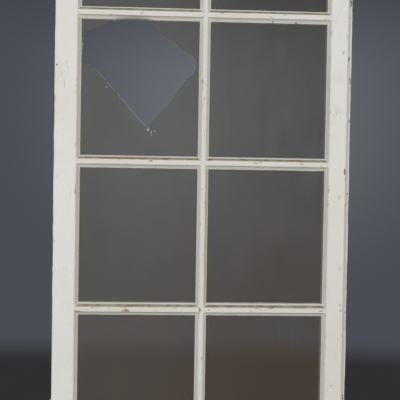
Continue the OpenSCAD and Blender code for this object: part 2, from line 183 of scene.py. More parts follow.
def ovalAway(graph, where, centre, half):     # 1 on the rim of an oval on the faces, less inside it
    away = graph.vector("SUBTRACT", where, centre)
    scaled = graph.vector("MULTIPLY", away, (1 / half[0], 0, 1 / half[1]))
    return graph.vector("LENGTH", scaled)


def blot(graph, where, centre, half):  # 1 inside a small oval, 0 outside
    return ovalAway(graph, where, centre, half).between(1.2, 0.7)


woodLook = {
    "pale": srgb(176, 150, 112),
    "dark": srgb(122, 96, 66),
    "weathered": srgb(139, 131, 119),
    "ringScale": 160,
    "drawn": 0.03,
    "bump": 0.25 * mm,
}


def woodColor(graph, along, look=woodLook):
    grain = grainPlace(graph, along, look["drawn"])
    rings = graph.noise(grain, look["ringScale"], 4)
    pores = graph.noise(grain, look["ringScale"] * 9, 2)
    worn = graph.noise(graph.place(), 22, 3).between(0.35, 0.65)
    color = graph.mix(rings.between(0.35, 0.68), look["pale"], look["dark"])
    color = graph.mix(pores.between(0.5, 0.75) * 0.45, color, look["dark"])
    color = graph.mix(worn * 0.7, color, look["weathered"])
    return color, rings * 0.6 + pores * 0.4


def bareWood(name, along):
    material, graph = newMaterial(name)
    color, height = woodColor(graph, along)
    normal = graph.bump(height, woodLook["bump"])
    finishMaterial(graph, color=color, rough=0.68 + height * 0.2, normal=normal)
    return material


pegLook = {"bareTo": 16.5 * mm, "paintedFrom": 17.2 * mm}      # measured from the middle of the wood


def paintedPegs(name, look=pegLook):   # pegs cut off flush and painted over, thin at their rims
    material, graph = newMaterial(name)
    color, height = woodColor(graph, "Y")
    paint, rough, relief = paintSkin(graph, "Z")
    y = graph.parts(graph.place())[1]
    inner, outer = look["bareTo"], look["paintedFrom"]
    covered = y.between(-inner, -outer).most(y.between(inner, outer))
    worn = graph.noise(graph.place(), 380, 3).between(0.60, 0.72) * 0.7
    cover = covered * (1 - worn) * (1 - graph.mark("arris") * 0.35)
    color = graph.mix(cover, color, paint)
    normal = graph.bump(relief * 0.5 + height * 0.5, woodLook["bump"])
    finishMaterial(graph, color=color, rough=rough, normal=normal)
    return material


paintLook = {
    "white": (0.745, 0.730, 0.712, 1),
    "cream": (0.720, 0.700, 0.645, 1),
    "agedAndShaded": (0.60, 0.56, 0.44, 1),
    "grime": (0.30, 0.28, 0.235, 1),
    "crack": (0.115, 0.10, 0.08, 1),
    "primer": (0.50, 0.49, 0.455, 1),
    "strokeScale": 700,
    "strokeDrawn": 0.035,
    "crackScale": 190,
    "crackDrawn": 0.11,
    "crackWander": (0.004, 0.004, 0.004),
    "edgeBare": (1.4 * mm, 0.5 * mm),  # how far in from the sash's edges the planed wood shows
    "endBare": (1.2 * mm, 0.4 * mm),   # the same at its foot and head
}
# Blemishes on the outside face: centre x, z, half width, half height in millimetres, and strength
blemishes = (
    (-302.5, 867, 1.5, 2.1, 1.0),      # nail hole in the hinge stile
    (-287, 828, 1.0, 9, 0.35),         # split below it
    (-291, 852, 0.8, 6, 0.25),
    (295.6, 658, 1.7, 7.0, 1.0),       # slit at the step of the closing stile
    (291.4, 379, 1.1, 2.8, 0.8),
    (292.6, 367.5, 1.3, 2.4, 0.9),
    (297.5, 957, 0.9, 9, 0.35),
    (293, 943, 0.8, 7, 0.25),
    (288, 905, 2.4, 5, 0.28),
    (286.5, 905, 1.2, 2, 0.3),
    (-10.6, 879, 1.3, 2.3, 0.9),       # nick in the upright bar
    (276, 209, 1.3, 1.6, 0.8),
    (289, 455, 3.2, 4.5, 0.22),
    (286, 604, 3.4, 5.5, 0.2),
    (-299, 640, 0.9, 5, 0.25),
    (-304, 506, 1.0, 3.4, 0.4),
)


def paintSkin(graph, along, look=paintLook):      # colour, roughness and relief of old brushed paint
    where = graph.place()
    strokes = graph.noise(grainPlace(graph, along, look["strokeDrawn"]), look["strokeScale"], 3)
    broad = graph.noise(where, 4.5, 2)
    patch = graph.noise(where, 26, 4)
    spots = graph.noise(where, 240, 3)
    color = graph.mix(broad.between(0.35, 0.65), look["white"], look["cream"])
    color = graph.mix(patch.between(0.5, 0.75) * 0.18, color, look["agedAndShaded"])
    color = graph.mix(strokes.between(0.5, 0.72) * 0.12, color, look["agedAndShaded"])
    color = graph.mix(spots.between(0.62, 0.74) * 0.12, color, look["grime"])
    crackPlace = grainPlace(graph, along, look["crackDrawn"])
    wander = graph.noise(crackPlace, 300, 2, "Color")
    wander = graph.vector("MULTIPLY", wander, look["crackWander"])
    crackPlace = graph.vector("ADD", crackPlace, wander)
    lines = graph.cells(crackPlace, look["crackScale"]).between(0.035, 0.008)
    cracked = lines * graph.noise(where, 17, 3).between(0.56, 0.70)
    color = graph.mix(cracked * 0.30, color, look["crack"])
    relief = strokes * 0.5 + patch * 0.5 - cracked * 0.8
    rough = 0.50 + patch * 0.16 + spots * 0.08
    return color, rough, relief


def agedPaint(name, along):
    material, graph = newMaterial(name)
    where = graph.place()
    x, y, z = graph.parts(where)
    color, rough, relief = paintSkin(graph, along)
    # painted shade: the paint turns darker and yellower towards the lower right, where the light falls
    # off
    paintedFalloff = x.between(0.05, 0.31) * z.between(0.90, 0.20)
    color = graph.mix(paintedFalloff * 0.42, color, paintLook["agedAndShaded"])
    wood, woodHeight = woodColor(graph, along)
    warp = graph.noise(where, 420, 2, "Color")
    warped = graph.vector("ADD", where, graph.vector("MULTIPLY", warp, (0.0016, 0, 0.0016)))
    warped = graph.vector("SUBTRACT", warped, (0.0008, 0, 0.0008))
    outside = y.between(-9 * mm, -11 * mm)
    if along == "Z":                   # every blemish lies on an upright member
        dark = 0.0
        for cx, cz, halfX, halfZ, strength in blemishes:
            spot = blot(graph, warped, (cx * mm, 0, cz * mm), (halfX * mm, halfZ * mm))
            dark = spot * strength + dark
        color = graph.mix(dark.least(1) * outside, color, paintLook["crack"])
    # the edges of the sash were planed to fit, so only patches of primer and paint are left on them
    raggedness = graph.noise(grainPlace(graph, along, 0.16), 90, 5, rough=0.65)
    inner, outer = paintLook["edgeBare"]
    edge = x.between(sashHigh.x - inner, sashHigh.x - outer)
    edge = edge.most(x.between(sashLow.x + inner, sashLow.x + outer))
    inner, outer = paintLook["endBare"]
    ends = z.between(inner, outer).most(z.between(sashHigh.z - inner, sashHigh.z - outer))
    bald = edge.most(ends) * raggedness.between(0.42, 0.56)
    arris = graph.mark("arris").between(0.84, 0.99)
    chips = arris * graph.noise(grainPlace(graph, along, 0.35), 120, 4).between(0.60, 0.68)
    bare = bald.most(chips).least(1)
    rim = bare.between(0.02, 0.3) * bare.between(0.98, 0.6)
    color = graph.mix(bare.between(0.3, 0.7), color, wood)
    color = graph.mix(rim * 0.55, color, paintLook["primer"])
    color = graph.mix(arris * 0.14, color, paintLook["grime"])
    height = relief * 0.16 - bare * 0.75 + woodHeight * 0.3 * bare
    normal = graph.bump(height, 0.3 * mm)
    finishMaterial(graph, color=color, rough=rough + bare * 0.2, normal=normal)
    return material


puttyLook = {
    "skin": (0.66, 0.64, 0.56, 1),
    "oliveDirtAndShade": (0.36, 0.33, 0.215, 1),
    "dirt": (0.270, 0.185, 0.088, 1),
    "soot": (0.10, 0.085, 0.06, 1),
    "bare": (0.60, 0.51, 0.30, 1),
}
# Nicks in the putty: centre x, z, half width, half height in millimetres
puttyNicks = ((140.4, 966, 1.6, 2.0), (188.4, 965, 2.6, 1.6), (-182, 972, 3.0, 0.9))


def oldPutty(name, look=puttyLook):
    material, graph = newMaterial(name)
    where = graph.place()
    share, level, over = graph.mark("share"), graph.mark("sill"), graph.mark("head")
    bareMark, lap = graph.mark("bare"), graph.mark("lap")
    color, rough, relief = paintSkin(graph, "X")
    color = graph.mix(0.35, color, look["skin"])
    clouds = graph.noise(where, 55, 4)
    fine = graph.noise(where, 330, 4)
    edgeLine = share.between(0.80, 0.93) * share.between(1.06, 0.98)
    color = graph.mix(edgeLine * clouds.between(0.25, 0.6) * 0.30, color, look["oliveDirtAndShade"])
    # dirt lies on the slopes that face up; the corner under each bar gets painted shade
    silt = level * share.between(0.24, 0.37) * share.between(1.03, 0.93)
    silt = silt * (0.62 + clouds * 0.62 + fine * 0.3).least(1)
    grime = graph.mix(clouds.between(0.42, 0.62), look["oliveDirtAndShade"], look["dirt"])
    color = graph.mix(silt * 0.92, color, grime)
    color = graph.mix(silt * fine.between(0.55, 0.72) * 0.7, color, look["soot"])
    # painted shade: an olive band on the putty in the corner under each bar
    underBarShade = over * share.between(0.62, 0.84)
    color = graph.mix(underBarShade * (0.56 + clouds * 0.6).least(1), color, look["oliveDirtAndShade"])
    bare = bareMark * share.between(0.02, 0.18) * clouds.between(0.2, 0.42)
    color = graph.mix(bare * 0.85, color, look["bare"])
    warp = graph.vector("MULTIPLY", graph.noise(where, 260, 3, "Color"), (0.006, 0.006, 0.006))
    lines = graph.cells(graph.vector("ADD", where, warp), 150).between(0.03, 0.004)
    cracked = lines * graph.noise(where, 21, 3).between(0.56, 0.70) * (1 - lap)
    color = graph.mix(cracked * 0.35, color, look["soot"])
    nicked = 0.0
    for cx, cz, halfX, halfZ in puttyNicks:
        nicked = blot(graph, where, (cx * mm, 0, cz * mm), (halfX * mm, halfZ * mm)) + nicked
    color = graph.mix(nicked.least(1) * 0.75, color, look["soot"])
    height = relief * 0.25 + fine * 0.5 - cracked * 0.6
    normal = graph.bump(height, 0.3 * mm)
    finishMaterial(graph, color=color, rough=rough + 0.12, normal=normal)
    return material


def beddingMaterial():
    material, graph = newMaterial("beddingPutty")
    fine = graph.noise(graph.place(), 260, 4)
    clouds = graph.noise(graph.place(), 40, 3)
    color = graph.mix(clouds.between(0.3, 0.7), puttyLook["skin"], puttyLook["bare"])
    color = graph.mix(fine.between(0.55, 0.75) * 0.4, color, puttyLook["dirt"])
    finishMaterial(graph, color=color, rough=0.7 + fine * 0.15, normal=graph.bump(fine, 0.3 * mm))
    return material


glassLook = {
    "upperLeft": (0.142, 0.136, 0.118, 1),
    "upperRight": (0.062, 0.050, 0.034, 1),
    "lowerLeft": (0.136, 0.114, 0.088, 1),
    "lowerRight": (0.108, 0.079, 0.049, 1),
    "warm": (0.125, 0.098, 0.078, 1),
    "cool": (0.096, 0.100, 0.112, 1),
    "speck": (0.25, 0.24, 0.21, 1),
    "edge": (0.035, 0.045, 0.040, 1),
    "clear": 0.33,                     # how much one face of the glass hides
    # white of the crushed chips, and of the painted glint at the tip of the break
    "chipsAndGlint": (0.80, 0.82, 0.84, 1),
}
# Crushed chips by the hole, and a painted glint at the tip of the break: x, z, half width, half height
# in millimetres
chipsAndGlint = (
    # a painted glint at the tip of the break
    (-115.0, 738.5, 1.6, 2.8),
    (-108.0, 733.6, 1.1, 1.9),
    (-100.5, 736, 0.9, 1.2),
    (-108.2, 728, 0.8, 1.2),
    (-201.5, 824.5, 1.2, 1.5),
)
# Wiped or dusty marks on the glass: x, z, half width, half height in millimetres, dust added
smears = (
    (176, 318, 15, 24, -0.26),
    (190, 300, 6, 30, -0.16),
    (-188, 322, 26, 5, 0.17),
    (-160, 300, 22, 4, 0.15),
    (-204, 304, 10, 9, 0.11),
    (198, 288, 4, 25, 0.20),
    (23, 336, 1.8, 9, 0.9),
    (-230, 800, 22, 70, 0.07),
    (60, 200, 30, 26, 0.07),
    (-60, 880, 16, 60, -0.06),
)


def oldGlass(name, look=glassLook):
    material, graph = newMaterial(name)
    where = graph.place()
    x, _, z = graph.parts(where)
    across = x.between(-0.16, 0.18)
    down = z.between(0.72, 0.22)
    upper = graph.mix(across, look["upperLeft"], look["upperRight"])
    lower = graph.mix(across, look["lowerLeft"], look["lowerRight"])
    color = graph.mix(down, upper, lower)
    clouds = graph.noise(where, 9, 4)
    wipes = graph.noise(grainPlace(graph, "Z", 0.22), 34, 4, rough=0.6)
    speckled = graph.noise(where, 30, 2).between(0.5, 0.66)
    specks = graph.cells(where, 150, "F1").between(0.16, 0.05) * speckled
    tint = graph.noise(grainPlace(graph, "Z", 0.6), 8, 3)
    color = graph.mix(tint.between(0.50, 0.66) * 0.45, color, look["warm"])
    color = graph.mix(tint.between(0.46, 0.34) * 0.35, color, look["cool"])
    film = 0.86 + clouds * 0.20 + wipes.between(0.45, 0.7) * 0.12
    for cx, cz, halfX, halfZ, more in smears:
        away = ovalAway(graph, where, (cx * mm, 0, cz * mm), (halfX * mm, halfZ * mm))
        film = film + away.between(1.3, 0.3) * more
    # white spots by the hole: crushed chips, and a painted glint at the tip of the break
    white = 0.0
    warp = graph.noise(where, 900, 2, "Color")
    warped = graph.vector("ADD", where, graph.vector("MULTIPLY", warp, (0.0012, 0, 0.0012)))
    for cx, cz, halfX, halfZ in chipsAndGlint:
        centre = ((cx + 0.6) * mm, 0, (cz + 0.6) * mm)
        white = blot(graph, warped, centre, (halfX * mm, halfZ * mm)) + white
    white = white.least(1) * graph.noise(where, 1500, 1).between(0.35, 0.6)
    color = graph.mix(specks * 0.5, color, look["speck"])
    color = graph.mix(white, color, look["chipsAndGlint"])
    color = graph.mix(graph.mark("edge") * 0.85, color, look["edge"])
    alpha = film * look["clear"] + specks * 0.12 + white * 0.6 + graph.mark("edge") * 0.12
    rough = 0.06 + clouds * 0.10 + white * 0.4
    ripple = graph.noise(grainPlace(graph, "Z", 0.4), 14, 2)
    normal = graph.bump(ripple, 1.2 * mm, 0.35)
    finishMaterial(graph, color=color, rough=rough, alpha=alpha.least(1), normal=normal,
                   specular=0.45, ior=1.5)
    return material


ironLook = {
    "iron": (0.060, 0.055, 0.052, 1),
    "rust": (0.125, 0.066, 0.038, 1),
    "paleRust": (0.235, 0.135, 0.075, 1),
    "paint": (0.66, 0.64, 0.58, 1),
    "bright": (0.42, 0.41, 0.39, 1),
}


def agedIron(name, painted, look=ironLook):   # painted is how much overspilled paint is left
    material, graph = newMaterial(name)
    where = graph.place()
    clouds = graph.noise(where, 75, 5)
    pits = graph.noise(where, 520, 4)
    patches = graph.noise(where, 48, 5, rough=0.62)
    color = graph.mix(clouds.between(0.42, 0.62), look["iron"], look["rust"])
    color = graph.mix(pits.between(0.55, 0.75) * 0.45, color, look["paleRust"])
    arris = graph.mark("arris").between(0.5, 0.95)
    shine = arris * pits.between(0.6, 0.42)
    color = graph.mix(shine * 0.55, color, look["bright"])
    cover = patches.between(0.62 - painted * 0.3, 0.66 - painted * 0.3) * (1 - arris * 0.5)
    color = graph.mix(cover, color, look["paint"])
    metal = (1 - cover) * (0.75 - clouds.between(0.42, 0.62) * 0.55)
    rough = 0.48 + pits * 0.3 - shine * 0.12
    height = pits * 0.5 + clouds * 0.3 + cover * 0.5
    normal = graph.bump(height, 0.25 * mm)
    finishMaterial(graph, color=color, rough=rough, metal=metal, normal=normal)
    return material


def wornSteel(name, base, dull):
    material, graph = newMaterial(name)
    where = graph.place()
    clouds = graph.noise(where, 140, 4)
    fine = graph.noise(grainPlace(graph, "Z", 0.2), 1600, 2)
    color = graph.mix(clouds.between(0.38, 0.66), base, dull)
    color = graph.mix(fine.between(0.6, 0.75) * 0.35, color, ironLook["rust"])
    rough = 0.34 + clouds * 0.28
    metal = 0.9 - clouds.between(0.5, 0.7) * 0.4
    normal = graph.bump(fine * 0.5 + clouds * 0.5, 0.1 * mm)
    finishMaterial(graph, color=color, rough=rough, metal=metal, normal=normal)
    return material


materials = {
    "uprightPaint": agedPaint("uprightPaint", "Z"),
    "levelPaint": agedPaint("levelPaint", "X"),
    "putty": oldPutty("facePutty"),
    "bedding": beddingMaterial(),
    "glass": oldGlass("oldGlass"),
    "iron": agedIron("hingeIron", 0.55),
    "buttonIron": agedIron("buttonIron", 0.12),
    "pinIron": agedIron("pinIron", 0.2),
    "steel": wornSteel("screwSteel", (0.30, 0.29, 0.28, 1), (0.17, 0.14, 0.12, 1)),
    "zinc": wornSteel("zincPoints", (0.46, 0.47, 0.48, 1), (0.30, 0.31, 0.32, 1)),
    "wedges": bareWood("wedgeWood", "X"),
    "pegs": paintedPegs("pegWood"),
}
print("materials made:", len(materials))


def settled(point):                    # where old wood has moved to: one warp shared by every piece
    broad = noise.noise_vector(point * 16) * (0.28 * mm)
    small = noise.noise_vector(point * 75 + Vector((3, 7, 5))) * (0.10 * mm)
    return point + broad + small


def meshOf(node):                      # a welded copy of a CAD node's mesh
    bm = bmesh.new()
    bm.from_mesh(frame["nodes"][node].data)
    bmesh.ops.remove_doubles(bm, verts=bm.verts, dist=0.01 * mm)
    bmesh.ops.dissolve_limit(bm, angle_limit=math.radians(0.5), verts=bm.verts, edges=bm.edges)
    return bm


def easeEdges(bm, width, shortest=0.0):       # rounds the arrises longer than the given length
    marked = bm.verts.layers.float.new("arris")
    sharp = math.radians(30)
    edges = []
    for edge in bm.edges:
        if edge.is_manifold and edge.calc_length() > shortest and edge.calc_face_angle() > sharp:
            edges.append(edge)
    made = bmesh.ops.bevel(bm, geom=edges, offset=width, segments=2, profile=0.5,
                           affect="EDGES", clamp_overlap=True)
    for vert in made["verts"]:
        vert[marked] = 1.0


def cutUp(bm, axis, step):             # slices a mesh across one axis, so that it can follow the warp
    places = [vert.co[axis] for vert in bm.verts]
    low, high = min(places), max(places)
    count = int((high - low) / step)
    direction = Vector((0, 0, 0))
    direction[axis] = 1
    for number in range(1, count + 1):
        where = direction * (low + (high - low) * number / (count + 1))
        geometry = bm.verts[:] + bm.edges[:] + bm.faces[:]
        bmesh.ops.bisect_plane(bm, geom=geometry, dist=0.001 * mm, plane_co=where, plane_no=direction)


def bodyOf(node):
    return next(name for name, nodes in frame["record"]["behaviour"]["bodies"].items() if node in nodes)


def makePiece(bm, node, material, crease=32):
    mesh = bpy.data.meshes.new(node + "_look")
    bmesh.ops.dissolve_degenerate(bm, dist=0.003 * mm, edges=bm.edges)
    bmesh.ops.recalc_face_normals(bm, faces=bm.faces)
    bm.to_mesh(mesh)
    bm.free()
    if "custom_normal" in mesh.attributes:
        mesh.attributes.remove(mesh.attributes["custom_normal"])
    mesh.shade_smooth()
    mesh.set_sharp_from_angle(angle=math.radians(crease))
    mesh.materials.clear()
    mesh.materials.append(materials[material])
    piece = bpy.data.objects.new(node + "_look", mesh)
    scene.collection.objects.link(piece)
    # flat faces stay flat beside a rounded arris
    weighted = piece.modifiers.new("weighted", "WEIGHTED_NORMAL")
    weighted.keep_sharp = True
    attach(piece, bodyOf(node))
    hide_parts(node)


memberShape = {
    "round": 0.7 * mm,                 # radius of a worn arris
    "longEdge": 9 * mm,                # shorter edges, as in the joints, stay sharp
    "step": 11 * mm,
    "acrossStep": 14 * mm,
}
# The bite out of the wood over the hole: from and to are shares of the light's width
bite = {"from": 0.28, "to": 0.60, "rise": 3.4 * mm, "fades": 6 * mm}


def chipArc(share):                    # 0 outside the bite, 1 in its middle
    inside = (share - bite["from"]) / (bite["to"] - bite["from"])
    return math.sin(math.pi * inside) ** 0.6 if 0 < inside < 1 else 0.0


brokenLow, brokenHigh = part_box("face_putty_2_left")
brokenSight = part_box("cross_bar_1_left")[0].z


def bitten(point):                     # the thin edge over the hole broke off with the putty
    share = (point.x - brokenLow.x - sideRebate) / (brokenHigh.x - brokenLow.x - 2 * sideRebate)
    reach = 1 - (point.z - brokenSight) / bite["fades"]
    if not -0.1 < reach < 1.1:
        return point
    return point + Vector((0, 0, bite["rise"] * chipArc(share) * min(max(reach, 0), 1)))


def makeMember(node, axis):
    bm = meshOf(node)
    easeEdges(bm, memberShape["round"], memberShape["longEdge"])
    cutUp(bm, axis, memberShape["step"])
    cutUp(bm, 2 - axis, memberShape["acrossStep"])
    for vert in bm.verts:
        place = bitten(vert.co) if node == "cross_bar_1_left" else vert.co
        vert.co = settled(place)
    makePiece(bm, node, "uprightPaint" if axis == 2 else "levelPaint")


for member in ("left_stile", "right_stile", "upright_bar"):
    makeMember(member, 2)
for member in ("top_rail", "bottom_rail"):
    makeMember(member, 0)
for number in rows[:-1]:
    for side in sides:
        makeMember(f"cross_bar_{number}_{side}", 0)
print("wooden members made")


def makeSmallPart(node, material, width, step=None, axis=2, shortest=0.4 * mm):
    bm = meshOf(node)
    easeEdges(bm, width, shortest)
    if step:
        cutUp(bm, axis, step)
    makePiece(bm, node, material)


makeSmallPart("tenon_wedges", "wedges", 0.3 * mm, 4 * mm, 0)
makeSmallPart("corner_pegs", "pegs", 0.4 * mm)
print("wedges and pegs made")


puttyShape = {
    "perSide": 72,                     # samples along each side of a light
    "levelLap": 0.45 * mm,             # how far the paint runs on to the glass above and below
    "sideLap": 0.25 * mm,
    "lapThick": 0.16 * mm,
    "footThick": 0.45 * mm,
    "hollow": 0.35 * mm,               # how hollow the knife left the slope
    "chipRise": 3.6 * mm,              # chipped foot above the hole
    "openTop": (0.25, 0.60),           # where the pane is missing, as shares of the light
    "openFlank": (0.13, 0.31),
    # how much paint the left run of each row's putty has lost, for both columns
    "bareRuns": {"right": (0.1, 0.12, 1, 0.4), "left": (0.35, 0.5, 0.55, 0.5)},
    "wavy": (0.155, 0.25),             # clumsy stretch below the second cross bar, from x to x
}
onSide = 0.99            # a point of the square walk beyond this lies on that side


def lightOf(row, side):                # centre and half size of a light between its sight lines
    low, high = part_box(f"face_putty_{row}_{side}")
    centre = (low + high) / 2
    return centre, (high.x - low.x) / 2 - sideRebate, (high.z - low.z) / 2 - levelRebate


def squareWalk(count):                 # points round the square from -1 to 1, from the lower left
    walk = []
    for number in range(4 * count):
        leg, share = divmod(number / count, 1)
        along = 2 * share - 1
        walk.append([(along, -1), (1, along), (-along, 1), (-1, -along)][int(leg)])
    return walk


def wave(point, length, seed):         # smooth wandering value between about -1 and 1
    return noise.noise(point / length + Vector((seed, seed * 1.7, 0)))


def puttySection(spot, lap, chip, row):      # share out from the sight line and depth, foot to lip
    shape = puttyShape
    ripple = wave(spot, 38 * mm, 2 + row) * 0.42 + wave(spot, 12 * mm, 5 + row) * 0.16
    knife = wave(spot, 25 * mm, 9 + row) * 0.22 * mm
    foot = glassFront - shape["footThick"] - 0.18 * mm * wave(spot, 17 * mm, 12)
    lip = puttyFront - 0.12 * mm * wave(spot, 30 * mm, 15)
    start = 0.03 + 0.045 * ripple + chip
    section = [(chip - lap, glassFront), (chip - lap * 0.93, glassFront - shape["lapThick"])]
    section.append((chip - lap * 0.35, glassFront - shape["lapThick"] * 1.15))
    section.append((start - 0.015, glassFront - shape["lapThick"] * 1.4))
    section.append((start, foot))
    for step in range(1, 8):
        share = step / 8
        sag = math.sin(math.pi * share) * (shape["hollow"] + knife)
        outward = start + (0.875 - start) * share
        section.append((outward, foot + (lip - foot) * share + sag))
    section += [(0.895, lip - 0.03 * mm), (0.95, lip - 0.08 * mm), (0.985, lip - 0.02 * mm)]
    section += [(1.0, lip + 0.25 * mm), (1.0, glassFront)]
    return section


def openGlass(row, side, across, up):  # 1 where the broken pane is missing behind the putty's foot
    if (row, side) != (2, "left"):
        return 0.0
    x, down = (across + 1) / 2, (1 - up) / 2
    topFrom, topTo = puttyShape["openTop"]
    flankFrom, flankTo = puttyShape["openFlank"]
    top = up > onSide and topFrom < x < topTo
    flank = across < -onSide and flankFrom < down < flankTo
    return 1.0 if top or flank else 0.0


def chipRise(row, side, across, up):
    if (row, side) != (2, "left") or up < onSide:
        return 0.0
    return chipArc((across + 1) / 2) * puttyShape["chipRise"] / levelRebate


def makePuttyRing(row, side):
    centre, halfX, halfZ = lightOf(row, side)
    bm = bmesh.new()
    names = ("share", "sill", "head", "bare", "lap")
    layers = {name: bm.verts.layers.float.new(name) for name in names}
    rings = []
    for across, up in squareWalk(puttyShape["perSide"]):
        edge = Vector((centre.x + across * halfX, 0, centre.z + up * halfZ))
        lap = puttyShape["levelLap" if abs(up) > onSide else "sideLap"]
        lap *= 1 + 0.38 * wave(edge, 30 * mm, 21) + 0.22 * wave(edge, 9 * mm, 23)
        if row == 3 and up > onSide and puttyShape["wavy"][0] < edge.x < puttyShape["wavy"][1]:
            lap *= 1.5 + 1.3 * wave(edge, 14 * mm, 31)
        lap = lap / sideRebate * (1 - 0.97 * openGlass(row, side, across, up))
        chip = chipRise(row, side, across, up)
        ring = []
        for share, depth in puttySection(edge, lap, chip, row):
            place = Vector((centre.x + across * (halfX + share * sideRebate), depth,
                            centre.z + up * (halfZ + share * levelRebate)))
            vert = bm.verts.new(settled(place) if share > 0.5 else place)
            vert[layers["share"]] = max(share, 0)
            vert[layers["lap"]] = 1.0 if share < 0.02 else 0.0
            vert[layers["sill"]] = 1.0 if up < -onSide and abs(across) < 0.999 else 0.0
            vert[layers["head"]] = 1.0 if up > onSide and abs(across) < 0.999 else 0.0
            leftRun = across < -onSide and abs(up) < 0.995
            vert[layers["bare"]] = puttyShape["bareRuns"][side][row - 1] if leftRun else 0.0
            ring.append(vert)
        rings.append(ring)
    for number, ring in enumerate(rings):
        following = rings[(number + 1) % len(rings)]
        for step in range(len(ring)):
            after = (step + 1) % len(ring)
            bm.faces.new((ring[step], ring[after], following[after], following[step]))
    makePiece(bm, f"face_putty_{row}_{side}", "putty", crease=48)


def makeBedding():
    bm = meshOf("bedding_putty")
    easeEdges(bm, 0.2 * mm, 0.4 * mm)
    for axis in (0, 2):
        cutUp(bm, axis, 12 * mm)
    for vert in bm.verts:
        vert.co = bitten(vert.co)
    makePiece(bm, "bedding_putty", "bedding")


for row in rows:
    for side in sides:
        makePuttyRing(row, side)
makeBedding()
makeSmallPart("glazing_points", "zinc", 0.12 * mm)
print("putty made")


glassShape = {
    "edge": 0.25 * mm,                 # ground-off arris of a pane
    "step": 26 * mm,
    "wave": 0.09 * mm,                 # how far the drawn sheet wanders from flat
    "crackStep": 2.6 * mm,             # length of one facet along the break
    "jag": 0.42 * mm,
    "band": 0.35 * mm,                 # width of the dark edge's margin on each face
}


def waved(point):                      # drawn glass ripples most across its drawing direction
    ripple = noise.noise(Vector((point.x * 9, 0, point.z * 24)))
    return Vector((point.x, point.y + glassShape["wave"] * ripple, point.z))


def makePane(node):
    bm = meshOf(node)
    easeEdges(bm, glassShape["edge"])
    for axis in (0, 2):
        cutUp(bm, axis, glassShape["step"])
    for vert in bm.verts:
        vert.co = waved(vert.co)
    makePiece(bm, node, "glass", crease=20)


def frontOutline(node):                # corners of a pane's front face, in order
    bm = meshOf(node)
    facing = [face for face in bm.faces if face.normal.y < -0.9]
    front = max(facing, key=lambda face: face.calc_area())
    corners = [vert.co.copy() for vert in front.verts]
    bm.free()
    return corners


def brokenOutline(corners, low, high): # the outline, with the break cut into small uneven facets
    fine = []
    for number, corner in enumerate(corners):
        following = corners[(number + 1) % len(corners)]
        run = following - corner
        count = 1
        straight = abs(run.x) < 0.01 * mm or abs(run.z) < 0.01 * mm
        if not straight:
            count = max(2, round(run.length / glassShape["crackStep"]))
        across = Vector((run.z, 0, -run.x)).normalized()
        for step in range(count):
            place = corner + run * step / count
            inside = low.x + mm < place.x < high.x - mm and low.z + mm < place.z < high.z - mm
            if inside and not straight:
                jag = noise.noise(place * 260) * 1.2 + noise.noise(place * 900) * 0.8
                place = place + across * glassShape["jag"] * jag
            fine.append((place, inside and not straight))
    return fine


def makeBrokenPane(node):
    low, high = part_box(node)
    outline = brokenOutline(frontOutline(node), low, high)
    bm = bmesh.new()
    edge = bm.verts.layers.float.new("edge")
    loops = []
    # front, two steps through the thickness and back; the break leans and bulges a little as glass does
    for depth, push in ((0.0, 0.0), (0.12, 0.16), (0.5, 0.30), (0.88, 0.12), (1.0, -0.1)):
        loop = []
        for number, (place, broken) in enumerate(outline):
            before, after = outline[number - 1][0], outline[(number + 1) % len(outline)][0]
            outward = Vector((after.z - before.z, 0, before.x - after.x)).normalized()
            bulge = push * mm * (1 + 0.8 * noise.noise(place * 400 + Vector((0, depth * 5, 0))))
            spot = place + (outward * bulge if broken else Vector((0, 0, 0)))
            spot.y = low.y + (high.y - low.y) * depth
            vert = bm.verts.new(spot)
            vert[edge] = 1.0 if broken else 0.0
            loop.append(vert)
        loops.append(loop)
    for near, far in zip(loops, loops[1:]):
        for number in range(len(near)):
            after = (number + 1) % len(near)
            bm.faces.new((near[number], near[after], far[after], far[number]))
    caps = [bm.faces.new(loops[0]), bm.faces.new(reversed(loops[-1]))]
    # a narrow band inside each face keeps the dark edge colour off the sheet
    bmesh.ops.recalc_face_normals(bm, faces=bm.faces)
    bmesh.ops.inset_region(bm, faces=caps, thickness=glassShape["band"], depth=0, use_even_offset=True)
    bm.normal_update()
    flat = [face for face in bm.faces if abs(face.normal.y) > 0.99 and len(face.verts) > 8]
    for face in flat:
        for vert in face.verts:
            vert[edge] = 0.0
    bmesh.ops.triangulate(bm, faces=flat, ngon_method="EAR_CLIP")
    makePiece(bm, node, "glass", crease=24)


for row in rows:
    for side in sides:
        name = f"pane_{row}_{side}"
        if name == "pane_2_left":
            makeBrokenPane(name)
        else:
            makePane(name)
print("glass made")


for place in ("upper", "lower"):
    makeSmallPart(f"{place}_hinge_sash_leaf", "iron", 0.35 * mm)
    makeSmallPart(f"{place}_hinge_jamb_leaf", "iron", 0.35 * mm)
    makeSmallPart(f"{place}_hinge_pin", "pinIron", 0.4 * mm)
makeSmallPart("turn_button_plate", "buttonIron", 0.4 * mm)
makeSmallPart("turn_button", "buttonIron", 0.9 * mm, shortest=1.5 * mm)
makeSmallPart("turn_button_pivot", "steel", 0.35 * mm)

screwShape = {
    "slotWide": 0.22,                  # the slot, as shares of the head's radius
    "slotLong": 0.78,
    "slotDeep": 0.24,
    "smooth": 0.3,                     # shares of the length without thread and with it
    "threaded": 0.62,
    "turns": 7,
    "around": 40,
}


def islands(bm):                       # the separate solids of one mesh, as lists of vertices
    left = set(bm.verts)
    found = []
    while left:
        stack = [left.pop()]
        island = []
        while stack:
            vert = stack.pop()
            island.append(vert)
            near = {edge.other_vert(vert) for edge in vert.link_edges} & left
            left -= near
            stack.extend(near)
        found.append(island)
    return found


